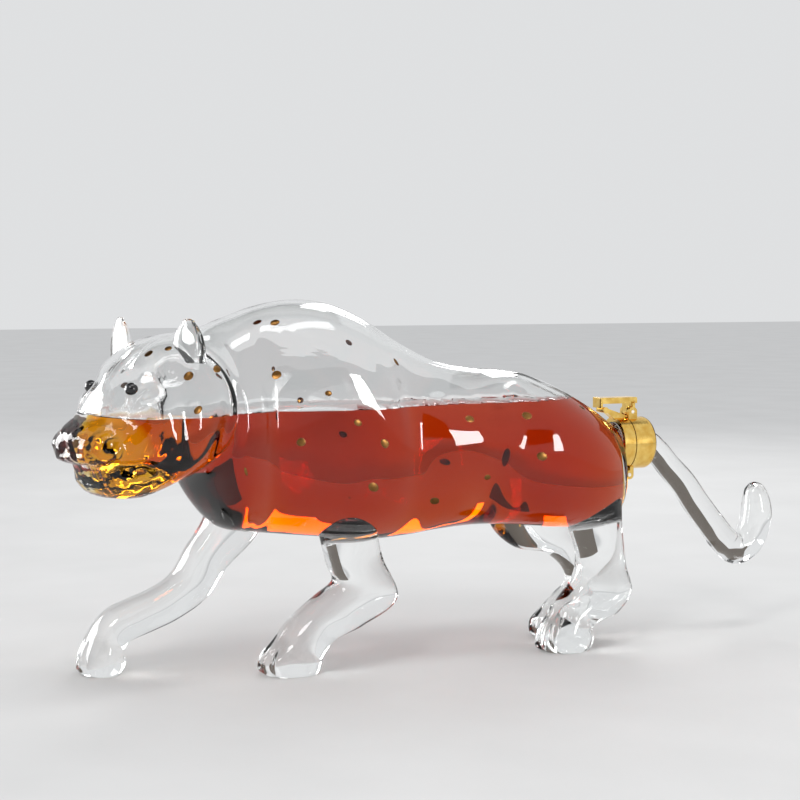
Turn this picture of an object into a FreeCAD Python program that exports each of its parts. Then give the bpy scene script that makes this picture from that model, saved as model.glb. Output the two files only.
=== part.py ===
import FreeCAD, Part
import math
import os

# Figural decanter: a walking leopard blown in clear glass, closed at the rump by a gilt hinged lid
# that carries the solid glass tail. The figure is drawn facing -X with its left side towards -Y.
# It is drawn from the middle of the rump face at floor level, then centred over the floor.

# Glass figure
SHOULDER_HEIGHT = 180.0      # floor to the top of the shoulders
TORSO_LENGTH = 197.0         # rump face to the root of the neck
TORSO_WIDTH = 76.0           # across the shoulders
HEAD_LENGTH = 109.0          # root of the neck to the nose
HEAD_WIDTH = 70.0            # across the cheeks
HEAD_TURN = 24.0             # degrees that the head turns to its left
GLASS_WALL = 2.8             # blown wall of the body
MUZZLE_WALL = 5.0            # the wall thickens towards the nose

# Legs, ears and eyes
LEG_HEIGHT = 98.0            # floor to the top of a leg, inside the body's outline
LEG_GIRTH = 27.0             # across the thickest leg
LEG_SPREAD = 17.0            # middle of a leg to the middle of the body
EAR_HEIGHT = 15.0
EAR_WIDTH = 15.0
EAR_THICKNESS = 6.5
EYE_RADIUS = 3.0

# Neck, sleeve and collar
NECK_RADIUS = 10.0
BORE_RADIUS = 7.4
NECK_LENGTH = 8.0            # rump face to the ground mouth
SLEEVE_THICKNESS = 1.2       # soft bush between neck and collar
COLLAR_START = 0.6           # rump face to the collar
COLLAR_LENGTH = 6.4

# Lid, its seal and its hinge
LID_RADIUS = 13.7
LID_LENGTH = 13.0
LID_GAP = 0.5                # collar to lid
LID_EDGE_RADIUS = 3.5
RECESS_RADIUS = 11.4
RECESS_DEPTH = 3.2
SEAL_GAP = 0.2               # seal to mouth and to the recess wall
HINGE_PIN_RADIUS = 1.0
HINGE_DROP = 2.7             # underside of the lid to the hinge line
KNUCKLE_RADIUS = 2.4
KNUCKLE_WIDTH = 6.0          # middle knuckle, on the collar
OUTER_KNUCKLE_WIDTH = 3.0    # each knuckle on the lid

# Catch on the collar and lever on the lid
CATCH_RADIUS = 1.6
CATCH_RISE = 4.1             # top of the lid to the middle of the catch bar
CATCH_REACH = 5.8            # rump face forward to the middle of the catch bar
CATCH_WIDTH = 8.0
CATCH_ARM_WIDTH = 5.0
CATCH_ARM_THICKNESS = 2.4
LEVER_THICKNESS = 3.2
LEVER_WIDTH = 9.0
LEVER_RISE = 7.5             # top of the lid to the underside of the lever
LEVER_END = 12.4             # rump face back to the heel of the lever
LEVER_TIP = 9.4              # rump face forward to the tip of the lever
LEVER_LIP = 1.5              # hooked lip at the tip
LEVER_LIP_DEPTH = 2.2
LEG_PLATE_HALF = 2.6         # half the lever's upright, along the body
LEG_PLATE_WIDTH = 5.0
PIVOT_RISE = 3.0             # top of the lid to the lever's pivot
PIVOT_RADIUS = 0.9
FOOT_RADIUS = 2.5
LUG_THICKNESS = 2.0
SLOT_WIDTH = 2.0
SLOT_HEIGHT = 3.6

# Tail
TAIL_ROOT_RADIUS = 6.3
TAIL_SOCKET_DEPTH = 7.0
TAIL_REACH = 69.2            # end of the lid to the far side of the curl
TAIL_DROP = 60.4             # lid axis down to the bottom of the curl
TAIL_GIRTH = 17.0            # thickest part, at the curl
BUSH_THICKNESS = 0.8
CEMENT_GAP = 0.6             # cement round the tail's root, inside the bush

# Clearances and drawing constants
FIT_GAP = 0.05               # pieces pushed or cemented together
RUN_GAP = 0.04               # pins in their holes
SIDE_GAP = 0.3               # faces that pass each other
OVERRUN = 1.0                # how far a cut runs past what it cuts
RING_POINTS = 20             # points on each section
LOFT_DEGREE = 3              # highest degree of a skinned surface
BELLY_FULLNESS = 2.5         # 2 is a plain oval belly, more is fuller
SOLID_NOSE_ROWS = 5          # sections of the nose with no hollow
STEEPEST_INSET = 2.4         # most times the wall that a section is drawn in

# Body sections from the rump forward: place along the torso, top and bottom as shares of the
# shoulder height, full width as a share of the torso width
TORSO_SHARES = (
    (0.000, 0.622, 0.410, 0.42),
    (0.012, 0.636, 0.382, 0.54),
    (0.033, 0.651, 0.362, 0.64),
    (0.071, 0.680, 0.349, 0.76),
    (0.122, 0.714, 0.346, 0.85),
    (0.203, 0.758, 0.349, 0.91),
    (0.305, 0.790, 0.359, 0.91),
    (0.416, 0.801, 0.364, 0.87),
    (0.533, 0.828, 0.357, 0.87),
    (0.629, 0.885, 0.344, 0.92),
    (0.731, 0.955, 0.341, 0.97),
    (0.832, 0.995, 0.354, 1.00),
    (0.924, 1.000, 0.365, 0.985),
    (1.000, 0.985, 0.374, 0.95),
)

# Head sections from the root of the neck to the nose: place along the head, top and bottom as shares
# of the shoulder height, full width as a share of the head width, share of the turn
HEAD_SHARES = (
    (0.117, 0.966, 0.385, 0.98, 0.35),
    (0.205, 0.950, 0.402, 0.94, 0.55),
    (0.275, 0.936, 0.455, 0.91, 0.75),
    (0.335, 0.927, 0.530, 0.90, 0.90),
    (0.400, 0.921, 0.568, 0.92, 1.00),
    (0.475, 0.917, 0.562, 0.97, 1.00),
    (0.555, 0.909, 0.540, 0.98, 1.00),
    (0.640, 0.887, 0.522, 0.94, 1.00),
    (0.725, 0.848, 0.515, 0.85, 1.00),
    (0.810, 0.795, 0.530, 0.74, 1.00),
    (0.885, 0.737, 0.562, 0.62, 1.00),
    (0.950, 0.688, 0.585, 0.48, 1.00),
    (1.000, 0.650, 0.597, 0.30, 1.00),
)
FIRST_TURN_SHARE = 0.12      # share of the head's turn already taken at the root of the neck
WIDEST_SHARE = 0.46          # height of the widest point within a section
NECK_HEIGHT_SHARE = 0.577    # middle of the neck, of the shoulder height
HIP_HEIGHT_SHARE = 0.5444    # top of the leg forms inside the body, of the shoulder height

# Leg outlines from the top down: front edge and back edge, each as distance behind the leg's own
# place and height, then the width across, all as shares of the leg height or the leg girth, but for
# the heights of the first row, which are shares of the hip height
FRONT_LEFT_SHARES = (
    (-0.19, 1.000, 0.16, 1.000, 1.00),
    (-0.158, 0.776, 0.158, 0.766, 1.00),
    (-0.128, 0.643, 0.168, 0.663, 0.93),
    (-0.101, 0.531, 0.193, 0.551, 0.89),
    (-0.071, 0.449, 0.274, 0.347, 0.89),
    (-0.158, 0.378, 0.084, 0.211, 0.89),
    (-0.256, 0.301, -0.067, 0.148, 0.93),
    (-0.348, 0.204, -0.139, 0.061, 0.97),
    (-0.420, 0.064, -0.149, 0.020, 1.00),
    (-0.395, 0.000, -0.160, 0.000, 0.85),
)
FRONT_RIGHT_SHARES = (
    (-0.12, 0.980, 0.21, 0.850, 0.97),
    (-0.177, 0.735, 0.079, 0.622, 0.93),
    (-0.270, 0.592, -0.073, 0.472, 0.85),
    (-0.348, 0.469, -0.164, 0.342, 0.82),
    (-0.455, 0.403, -0.312, 0.245, 0.78),
    (-0.578, 0.357, -0.465, 0.184, 0.78),
    (-0.670, 0.316, -0.552, 0.153, 0.82),
    (-0.751, 0.230, -0.593, 0.112, 0.85),
    (-0.797, 0.102, -0.593, 0.046, 0.93),
    (-0.765, 0.000, -0.620, 0.000, 0.78),
)
HIND_LEFT_SHARES = (
    (-0.20, 0.960, 0.13, 1.000, 0.97),
    (-0.179, 0.735, 0.138, 0.776, 1.00),
    (-0.143, 0.622, 0.143, 0.643, 0.97),
    (-0.111, 0.520, 0.158, 0.528, 0.89),
    (-0.111, 0.439, 0.174, 0.423, 0.85),
    (-0.143, 0.357, 0.209, 0.296, 0.85),
    (-0.199, 0.293, 0.127, 0.179, 0.85),
    (-0.270, 0.199, -0.020, 0.122, 0.89),
    (-0.308, 0.092, -0.036, 0.041, 0.97),
    (-0.281, 0.000, -0.056, 0.000, 0.82),
)
HIND_RIGHT_SHARES = (
    (-0.33, 0.860, 0.15, 0.960, 0.97),
    (-0.31, 0.610, 0.14, 0.735, 0.97),
    (-0.18, 0.500, 0.17, 0.592, 0.93),
    (0.00, 0.460, 0.245, 0.490, 0.85),
    (0.115, 0.367, 0.320, 0.378, 0.82),
    (0.135, 0.296, 0.350, 0.255, 0.82),
    (0.065, 0.235, 0.285, 0.117, 0.82),
    (-0.010, 0.158, 0.205, 0.061, 0.89),
    (-0.046, 0.071, 0.185, 0.031, 0.93),
    (-0.020, 0.000, 0.165, 0.000, 0.78),
)

# Each leg: place along the torso as a share, side (-1 is the figure's left) and outline
LEGS = {
    "front_left_leg": (0.792, -1.0, FRONT_LEFT_SHARES),
    "front_right_leg": (1.020, 1.0, FRONT_RIGHT_SHARES),
    "hind_left_leg": (0.094, -1.0, HIND_LEFT_SHARES),
    "hind_right_leg": (0.155, 1.0, HIND_RIGHT_SHARES),
}

# Ears: place along the head and sideways, as shares of the head; then height above the seat, width
# and thickness of each section as shares of the ear
EAR_ALONG_SHARE = 0.560
EAR_ASIDE_SHARE = 0.36
EAR_SEAT_SHARE = 0.893       # height of the ear's seat, of the shoulder height
EAR_SHARES = (
    (-0.55, 0.80, 0.80),
    (0.00, 1.00, 1.00),
    (0.30, 0.98, 0.86),
    (0.55, 0.72, 0.66),
    (0.74, 0.30, 0.40),
)
EYE_ALONG_SHARE = 0.785
EYE_HEIGHT_SHARE = 0.785

# Tail line: sections of the straight root, as shares of its depth in the lid, and then the free line
# from the lid outwards as reach, drop and girth
TAIL_ROOT_SHARES = (1.0, 0.5, 0.0)
TAIL_SHARES = (
    (0.087, -0.075, 0.755),
    (0.195, -0.215, 0.785),
    (0.318, -0.360, 0.82),
    (0.457, -0.575, 0.86),
    (0.593, -0.765, 0.88),
    (0.712, -0.920, 0.93),
    (0.815, -1.000, 0.97),
    (0.912, -0.945, 1.00),
    (0.980, -0.805, 1.00),
    (1.000, -0.665, 0.98),
    (0.991, -0.530, 0.82),
    (0.974, -0.440, 0.55),
    (0.965, -0.400, 0.30),
)

AXIS_HEIGHT = SHOULDER_HEIGHT * NECK_HEIGHT_SHARE
HIP_HEIGHT = SHOULDER_HEIGHT * HIP_HEIGHT_SHARE
LID_START = COLLAR_START + COLLAR_LENGTH + LID_GAP
LID_END = LID_START + LID_LENGTH
HINGE_X = LID_START - LID_GAP / 2
HINGE_Z = AXIS_HEIGHT - LID_RADIUS - HINGE_DROP
PIVOT_X = LEVER_END - LEG_PLATE_HALF
PIVOT_Z = AXIS_HEIGHT + LID_RADIUS + PIVOT_RISE
LEVER_BASE_Z = AXIS_HEIGHT + LID_RADIUS + LEVER_RISE


def vec(x, y, z):
    """A point or direction."""
    return FreeCAD.Vector(x, y, z)


X_AXIS = vec(1, 0, 0)
Y_AXIS = vec(0, 1, 0)
Z_AXIS = vec(0, 0, 1)


def closed_curve(points):
    """A smooth closed wire through the points."""
    curve = Part.BSplineCurve()
    curve.interpolate(Points=points, PeriodicFlag=True)
    return Part.Wire([curve.toShape()])


def oval(centre, across, rise, half_across, half_above, half_below, fullness=2):
    """A closed oval with its own half heights above and below; fullness over 2 squares the lower half."""
    points = []
    for index in range(RING_POINTS):
        turn = 2 * math.pi * index / RING_POINTS
        aside = math.cos(turn)
        lift = half_above * math.sin(turn)
        if lift < 0:
            aside = math.copysign(abs(aside) ** (2 / fullness), aside)
            lift = -half_below * abs(math.sin(turn)) ** (2 / fullness)
        points.append(centre + across * (half_across * aside) + rise * lift)
    return closed_curve(points)


def loft(wires):
    """A solid skinned smoothly through closed wires."""
    return Part.makeLoft(wires, True, False, False, LOFT_DEGREE)


def cylinder(radius, length, start, direction):
    """A round bar."""
    return Part.makeCylinder(radius, length, start, direction)


def box_between(low, high):
    """A block from its lowest corner to its highest."""
    size = high - low
    return Part.makeBox(size.x, size.y, size.z, low)


def plate(points, width):
    """A flat plate in the X-Z plane, extruded across the body and centred on it."""
    outline = [vec(x, -width / 2, z) for x, z in points]
    face = Part.Face(Part.makePolygon(outline + outline[:1]))
    return face.extrude(Y_AXIS * width)


def head_direction(turn_share):
    """Forward and leftward directions of the head after a share of its turn."""
    turn = math.radians(HEAD_TURN * turn_share)
    return vec(-math.cos(turn), -math.sin(turn), 0), vec(math.sin(turn), -math.cos(turn), 0)


def head_point(along_share):
    """A point on the head's middle line, at floor level."""
    forward, _ = head_direction(1)
    return vec(-TORSO_LENGTH, 0, 0) + forward * (HEAD_LENGTH * along_share)


def body_stations():
    """Each body section: place along the body, centre, leftward direction, half width, top and bottom."""
    stations = []
    for along, top_share, bottom_share, width_share in TORSO_SHARES:
        left = head_direction(FIRST_TURN_SHARE if along == 1 else 0)[1]
        stations.append((TORSO_LENGTH * along, vec(-TORSO_LENGTH * along, 0, 0), left,
                         TORSO_WIDTH * width_share / 2, top_share, bottom_share))
    for along, top_share, bottom_share, width_share, turn_share in HEAD_SHARES:
        left = head_direction(turn_share)[1]
        stations.append((TORSO_LENGTH + HEAD_LENGTH * along, head_point(along), left,
                         HEAD_WIDTH * width_share / 2, top_share, bottom_share))
    return [(place, centre, left, half, SHOULDER_HEIGHT * top, SHOULDER_HEIGHT * bottom)
            for place, centre, left, half, top, bottom in stations]


def wall_inset(stations, index, column, inset):
    """How far a section is drawn in, so that the wall is even where the outline runs steeply."""
    before = stations[max(index - 1, 0)]
    after = stations[min(index + 1, len(stations) - 1)]
    steepness = (after[column] - before[column]) / (after[0] - before[0])
    return inset * min(math.hypot(1, steepness), STEEPEST_INSET)


def body_form(inset, nose_inset):
    """The body and head as one smooth form, drawn in by an inset that changes along the head."""
    stations = body_stations()
    wires = []
    for index, (place, centre, left, half, top, bottom) in enumerate(stations):
        head_share = max(0, place - TORSO_LENGTH) / HEAD_LENGTH
        wall = inset + head_share * (nose_inset - inset)
        insets = [wall_inset(stations, index, column, wall) for column in (3, 4, 5)]
        if index == 0:
            centre = centre - X_AXIS * inset
            insets = [inset] * len(insets)
        elif inset and (place < 2 * inset or index > len(stations) - SOLID_NOSE_ROWS - 1):
            continue
        widest = bottom + WIDEST_SHARE * (top - bottom)
        wires.append(oval(centre + Z_AXIS * widest, left, Z_AXIS, half - insets[0], top - widest - insets[1],
                          widest - bottom - insets[2], BELLY_FULLNESS))
    return loft(wires)


def glass_body(outer):
    """Blown body with an even wall, and the neck that the lid closes."""
    root = vec(-NECK_LENGTH, 0, AXIS_HEIGHT)
    neck = cylinder(NECK_RADIUS, 2 * NECK_LENGTH, root, X_AXIS)
    bore = cylinder(BORE_RADIUS, 2 * NECK_LENGTH + OVERRUN, root, X_AXIS)
    return outer.fuse(neck).cut(body_form(GLASS_WALL, MUZZLE_WALL)).cut(bore)


def leg(place_share, side, outline_shares, outer):
    """A solid glass leg from inside the body's form, which trims it, down to a flat sole."""
    wires = []
    for front, front_height, back, back_height, width_share in outline_shares:
        level = LEG_HEIGHT if wires else HIP_HEIGHT
        front_edge = vec(LEG_HEIGHT * front, 0, level * front_height)
        back_edge = vec(LEG_HEIGHT * back, 0, level * back_height)
        rise = front_edge - back_edge
        half = rise.Length / 2
        rise.normalize()
        centre = (front_edge + back_edge) * 0.5
        centre += vec(-TORSO_LENGTH * place_share, side * LEG_SPREAD, 0)
        wires.append(oval(centre, Y_AXIS, rise, LEG_GIRTH * width_share / 2, half, half))
    return loft(wires).cut(outer)


def ear(side, outer):
    """A small rounded ear, fused on the crown of the head."""
    forward, left = head_direction(1)
    seat = head_point(EAR_ALONG_SHARE) + left * (-side * HEAD_WIDTH * EAR_ASIDE_SHARE)
    seat += vec(0, 0, SHOULDER_HEIGHT * EAR_SEAT_SHARE)
    wires = []
    for rise_share, width_share, thickness_share in EAR_SHARES:
        half_thickness = EAR_THICKNESS * thickness_share / 2
        wires.append(oval(seat + vec(0, 0, EAR_HEIGHT * rise_share), left, forward,
                          EAR_WIDTH * width_share / 2, half_thickness, half_thickness))
    return loft(wires).cut(outer)


def eye(side, outer):
    """A black glass bead, half sunk in the side of the face."""
    place = TORSO_LENGTH + HEAD_LENGTH * EYE_ALONG_SHARE
    stations = body_stations()
    ahead = next(index for index, station in enumerate(stations) if station[0] > place)
    part = (place - stations[ahead - 1][0]) / (stations[ahead][0] - stations[ahead - 1][0])
    half, top, bottom = [stations[ahead - 1][column] * (1 - part) + stations[ahead][column] * part
                         for column in (3, 4, 5)]
    widest = bottom + WIDEST_SHARE * (top - bottom)
    height = SHOULDER_HEIGHT * EYE_HEIGHT_SHARE
    aside = half * math.sqrt(1 - ((height - widest) / (top - widest)) ** 2)
    _, left = head_direction(1)
    centre = head_point(EYE_ALONG_SHARE) + left * (-side * aside) + Z_AXIS * height
    return Part.makeSphere(EYE_RADIUS, centre).cut(outer)


def ring_bar(outer_radius, inner_radius, start, length):
    """A round bar with a bore, on the neck's axis."""
    centre = vec(start, 0, AXIS_HEIGHT)
    bore = cylinder(inner_radius, length + 2 * OVERRUN, centre - X_AXIS * OVERRUN, X_AXIS)
    return cylinder(outer_radius, length, centre, X_AXIS).cut(bore)


def neck_sleeve():
    """Soft bush that beds the collar on the glass neck."""
    inner = NECK_RADIUS + FIT_GAP
    return ring_bar(inner + SLEEVE_THICKNESS, inner, COLLAR_START, COLLAR_LENGTH)


def hinge_bar(radius, low_y, high_y):
    """A bar on the hinge line."""
    return cylinder(radius, high_y - low_y, vec(HINGE_X, low_y, HINGE_Z), Y_AXIS)


def collar():
    """Gilt collar with the middle hinge knuckle below and the catch above."""
    ring = ring_bar(LID_RADIUS, NECK_RADIUS + SLEEVE_THICKNESS + 2 * FIT_GAP, COLLAR_START, COLLAR_LENGTH)
    half = KNUCKLE_WIDTH / 2
    ring_end = COLLAR_START + COLLAR_LENGTH
    web = box_between(vec(HINGE_X - KNUCKLE_RADIUS, -half, HINGE_Z),
                      vec(ring_end, half, HINGE_Z + HINGE_DROP + SLEEVE_THICKNESS))
    hole = hinge_bar(HINGE_PIN_RADIUS + RUN_GAP, -half - OVERRUN, half + OVERRUN)
    catch_z = AXIS_HEIGHT + LID_RADIUS + CATCH_RISE
    bar = cylinder(CATCH_RADIUS, CATCH_WIDTH, vec(-CATCH_REACH, -CATCH_WIDTH / 2, catch_z), Y_AXIS)
    seat_z = AXIS_HEIGHT + LID_RADIUS - SLEEVE_THICKNESS
    arm = plate([
        (COLLAR_START, seat_z),
        (ring_end - LID_GAP, seat_z),
        (ring_end - LID_GAP, seat_z + CATCH_ARM_THICKNESS),
        (-CATCH_REACH + CATCH_RADIUS, catch_z + CATCH_RADIUS / 2),
        (-CATCH_REACH, catch_z),
        (-CATCH_REACH + CATCH_RADIUS / 2, catch_z - CATCH_RADIUS / 2),
    ], CATCH_ARM_WIDTH)
    knuckle = hinge_bar(KNUCKLE_RADIUS, -half, half)
    return ring.fuse([web, knuckle, bar, arm]).cut(hole).removeSplitter()


def hinge_pin():
    """Pin through the three hinge knuckles."""
    half = KNUCKLE_WIDTH / 2 + SIDE_GAP + OUTER_KNUCKLE_WIDTH
    return hinge_bar(HINGE_PIN_RADIUS, -half, half)


def pivot_bar(radius, low_y, high_y):
    """A bar on the lever's pivot line."""
    return cylinder(radius, high_y - low_y, vec(PIVOT_X, low_y, PIVOT_Z), Y_AXIS)


def lid_cap():
    """Turned gilt lid: seal recess in front, tail socket behind, hinge knuckles and lever lugs."""
    turned = cylinder(LID_RADIUS, LID_LENGTH, vec(LID_START, 0, AXIS_HEIGHT), X_AXIS)
    rim = [edge for edge in turned.Edges if abs(edge.CenterOfMass.x - LID_END) < FIT_GAP]
    turned = turned.makeFillet(LID_EDGE_RADIUS, rim)
    solids = []
    low = KNUCKLE_WIDTH / 2 + SIDE_GAP
    high = low + OUTER_KNUCKLE_WIDTH
    lug_low = LEG_PLATE_WIDTH / 2 + SIDE_GAP
    lug_high = lug_low + LUG_THICKNESS
    for side in (-1, 1):
        near, far = sorted((side * low, side * high))
        solids.append(hinge_bar(KNUCKLE_RADIUS, near, far))
        solids.append(box_between(vec(LID_START, near, HINGE_Z),
                                  vec(HINGE_X + KNUCKLE_RADIUS, far, HINGE_Z + 2 * HINGE_DROP)))
        near, far = sorted((side * lug_low, side * lug_high))
        solids.append(pivot_bar(FOOT_RADIUS, near, far))
        solids.append(box_between(vec(PIVOT_X - FOOT_RADIUS, near, PIVOT_Z - 2 * PIVOT_RISE),
                                  vec(PIVOT_X + FOOT_RADIUS, far, PIVOT_Z)))
    recess = cylinder(RECESS_RADIUS, RECESS_DEPTH + OVERRUN,
                      vec(LID_START - OVERRUN, 0, AXIS_HEIGHT), X_AXIS)
    socket_radius = TAIL_ROOT_RADIUS + CEMENT_GAP + BUSH_THICKNESS + FIT_GAP
    socket = cylinder(socket_radius, TAIL_SOCKET_DEPTH + OVERRUN,
                      vec(LID_END - TAIL_SOCKET_DEPTH, 0, AXIS_HEIGHT), X_AXIS)
    holes = [recess, socket, hinge_bar(HINGE_PIN_RADIUS + RUN_GAP, -high - OVERRUN, high + OVERRUN),
             pivot_bar(PIVOT_RADIUS + RUN_GAP, -lug_high - OVERRUN, lug_high + OVERRUN)]
    return turned.fuse(solids).cut(holes).removeSplitter()


def seal_disc():
    """Soft flat seal in the lid, which closes on the mouth of the neck."""
    start = NECK_LENGTH + SEAL_GAP
    length = LID_START + RECESS_DEPTH - start
    return cylinder(RECESS_RADIUS - SEAL_GAP, length, vec(start, 0, AXIS_HEIGHT), X_AXIS)


def lever_pivot():
    """Pin that carries the lever between the lid's two lugs."""
    half = LEG_PLATE_WIDTH / 2 + SIDE_GAP + LUG_THICKNESS
    return pivot_bar(PIVOT_RADIUS, -half, half)


def latch_lever():
    """Flat thumb lever with a hooked tip, and a slotted upright that turns on the pivot."""
    half_width = LEVER_WIDTH / 2
    top_z = LEVER_BASE_Z + LEVER_THICKNESS
    bar = box_between(vec(-LEVER_TIP, -half_width, LEVER_BASE_Z), vec(LEVER_END, half_width, top_z))
    lip = box_between(vec(-LEVER_TIP, -half_width, LEVER_BASE_Z - LEVER_LIP_DEPTH),
                      vec(LEVER_LIP - LEVER_TIP, half_width, LEVER_BASE_Z))
    bar = bar.fuse(lip).removeSplitter()
    tips = [edge for edge in bar.Edges if edge.BoundBox.YLength < FIT_GAP
            and edge.BoundBox.XLength < FIT_GAP and edge.CenterOfMass.x < LEVER_LIP / 2 - LEVER_TIP
            and edge.CenterOfMass.z > LEVER_BASE_Z - LEVER_LIP_DEPTH]
    crown = [edge for edge in bar.Edges if edge.BoundBox.XLength < FIT_GAP
             and edge.BoundBox.ZLength < FIT_GAP and edge.CenterOfMass.z > top_z - FIT_GAP]
    bar = bar.makeFillet(LEVER_LIP / 2, tips + crown)
    upright = plate([
        (PIVOT_X - LEG_PLATE_HALF, LEVER_BASE_Z + LEVER_THICKNESS / 2),
        (PIVOT_X - FOOT_RADIUS, PIVOT_Z),
        (PIVOT_X + FOOT_RADIUS, PIVOT_Z),
        (PIVOT_X + LEG_PLATE_HALF, LEVER_BASE_Z + LEVER_THICKNESS / 2),
    ], LEG_PLATE_WIDTH)
    half = LEG_PLATE_WIDTH / 2
    foot = pivot_bar(FOOT_RADIUS, -half, half)
    hole = pivot_bar(PIVOT_RADIUS + RUN_GAP, -half - OVERRUN, half + OVERRUN)
    slot_half = SLOT_WIDTH / 2
    slot_top = LEVER_BASE_Z + LEVER_THICKNESS / 4
    slot = box_between(vec(PIVOT_X - slot_half, -half_width - OVERRUN, slot_top - SLOT_HEIGHT),
                       vec(PIVOT_X + slot_half, half_width + OVERRUN, slot_top))
    return bar.fuse([upright, foot]).cut([hole, slot]).removeSplitter()


def tail():
    """Solid glass tail: a straight root in the lid's socket, then a line that falls and curls up."""
    line = []
    for root_share in TAIL_ROOT_SHARES:
        root_x = LID_END - root_share * (TAIL_SOCKET_DEPTH - FIT_GAP)
        line.append((vec(root_x, 0, AXIS_HEIGHT), TAIL_ROOT_RADIUS))
    for reach, drop, girth_share in TAIL_SHARES:
        point = vec(LID_END + TAIL_REACH * reach, 0, AXIS_HEIGHT + TAIL_DROP * drop)
        line.append((point, TAIL_GIRTH * girth_share / 2))
    wires = []
    for index, (point, radius) in enumerate(line):
        ahead = line[min(index + 1, len(line) - 1)][0]
        behind = line[max(index - 1, 0)][0]
        along = X_AXIS if index < len(TAIL_ROOT_SHARES) else ahead - behind
        rise = along.cross(Y_AXIS)
        rise.normalize()
        wires.append(oval(point, Y_AXIS, rise, radius, radius, radius))
    return loft(wires)


def tail_bush():
    """Soft bush in the lid's socket, which holds the cement round the tail's root."""
    inner = TAIL_ROOT_RADIUS + CEMENT_GAP
    depth = TAIL_SOCKET_DEPTH - FIT_GAP
    return ring_bar(inner + BUSH_THICKNESS, inner, LID_END - depth, depth)


def build_pieces():
    """Every piece of the decanter by name."""
    outer = body_form(0, 0)
    pieces = {"glass_body": glass_body(outer)}
    for name, (place_share, side, outline_shares) in LEGS.items():
        pieces[name] = leg(place_share, side, outline_shares, outer)
    for name, side in (("left", -1), ("right", 1)):
        pieces[name + "_ear"] = ear(side, outer)
        pieces[name + "_eye"] = eye(side, outer)
    pieces["neck_sleeve"] = neck_sleeve()
    pieces["collar"] = collar()
    pieces["hinge_pin"] = hinge_pin()
    pieces["lid_cap"] = lid_cap()
    pieces["seal_disc"] = seal_disc()
    pieces["lever_pivot"] = lever_pivot()
    pieces["latch_lever"] = latch_lever()
    pieces["tail"] = tail()
    pieces["tail_bush"] = tail_bush()
    return pieces


def main():
    """Centre the decanter over the floor and write each piece."""
    pieces = build_pieces()
    reach = Part.makeCompound(list(pieces.values())).optimalBoundingBox()
    shift = vec(-(reach.XMin + reach.XMax) / 2, -(reach.YMin + reach.YMax) / 2, 0)
    os.makedirs("parts", exist_ok=True)
    for name, shape in pieces.items():
        shape.translate(shift)
        shape.exportStep(f"parts/{name}.step")
        print(name, shape.isValid(), len(shape.Solids), round(shape.Volume, 1))
    hinge = vec(HINGE_X, 0, HINGE_Z) + shift
    pivot = vec(PIVOT_X, 0, PIVOT_Z) + shift
    mouth = vec(NECK_LENGTH, 0, AXIS_HEIGHT) + shift
    print("size", reach.XLength, reach.YLength, reach.ZLength)
    print("lid hinge", hinge, "lever pivot", pivot, "mouth", mouth)


main()
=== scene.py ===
"""Looks of a glass decanter shaped as a walking leopard: body, liquor, legs, tail and gilt lid."""
import logging
import math
from collections.abc import Callable
from dataclasses import dataclass, field
from enum import Enum
from typing import Any

import bmesh
import bpy
import numpy as np
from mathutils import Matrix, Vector


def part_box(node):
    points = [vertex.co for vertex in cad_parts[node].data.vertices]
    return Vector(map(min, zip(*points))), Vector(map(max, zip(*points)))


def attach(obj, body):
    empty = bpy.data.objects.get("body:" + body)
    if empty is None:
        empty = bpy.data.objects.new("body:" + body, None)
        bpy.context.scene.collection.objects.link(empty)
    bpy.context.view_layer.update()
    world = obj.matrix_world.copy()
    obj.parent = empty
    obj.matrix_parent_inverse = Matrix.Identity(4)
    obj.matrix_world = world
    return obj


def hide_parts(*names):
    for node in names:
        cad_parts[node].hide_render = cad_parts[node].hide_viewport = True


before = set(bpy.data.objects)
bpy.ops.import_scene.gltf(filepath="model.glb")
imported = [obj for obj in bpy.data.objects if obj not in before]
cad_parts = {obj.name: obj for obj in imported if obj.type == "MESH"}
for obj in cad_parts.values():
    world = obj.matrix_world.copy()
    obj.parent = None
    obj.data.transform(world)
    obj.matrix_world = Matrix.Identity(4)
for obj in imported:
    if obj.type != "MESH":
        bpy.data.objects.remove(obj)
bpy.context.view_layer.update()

LOG = logging.getLogger("decanter")
MM = 0.001
WELD = 0.004 * MM
TINY = 1e-12
TIP_LEAST = 0.0004
QUARTER = np.pi / 2
Array = np.ndarray


class Body(Enum):
    """The moving bodies that the scene's pieces ride on."""

    DECANTER = "decanter"
    LID = "lid"


class Slot(Enum):
    """The material slots that the scene's pieces take."""

    GLASS = "clear_glass"
    GILT = "gilt_brass"


class Side(Enum):
    """Left or right of the figure, as the sign of Y."""

    LEFT = -1.0
    RIGHT = 1.0


def smooth_between(knots: Array, values: Array, at: Array) -> Array:
    """Cubic curve through the knots: Hermite spans whose end slopes are central differences.

    Args:
        knots: rising places of the known values.
        values: known values, one row per knot.
        at: places to work out.

    Returns:
        The values at those places.
    """
    values = np.asarray(values, float)
    slopes = np.gradient(values, knots, axis=0)
    span = np.clip(np.searchsorted(knots, at, side="right") - 1, 0, len(knots) - 2)
    width = knots[span + 1] - knots[span]
    part = (at - knots[span]) / width
    shape = (-1,) + (1,) * (values.ndim - 1)
    part = part.reshape(shape)
    width = width.reshape(shape)
    square, cube = part ** 2, part ** 3
    return ((2 * cube - 3 * square + 1) * values[span]
            + (cube - 2 * square + part) * width * slopes[span]
            + (3 * square - 2 * cube) * values[span + 1]
            + (cube - square) * width * slopes[span + 1])


def quarter_round(share: Array) -> Array:
    """Radius of a rounded end: the root of one less the squared share, kept just above zero."""
    return np.sqrt(np.maximum(1 - share ** 2, TIP_LEAST))


def full_turn(columns: int, start: float = 0.0) -> Array:
    """Even angles of one full turn from a start."""
    return np.linspace(start, start + 2 * np.pi, columns, endpoint=False)


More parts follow.
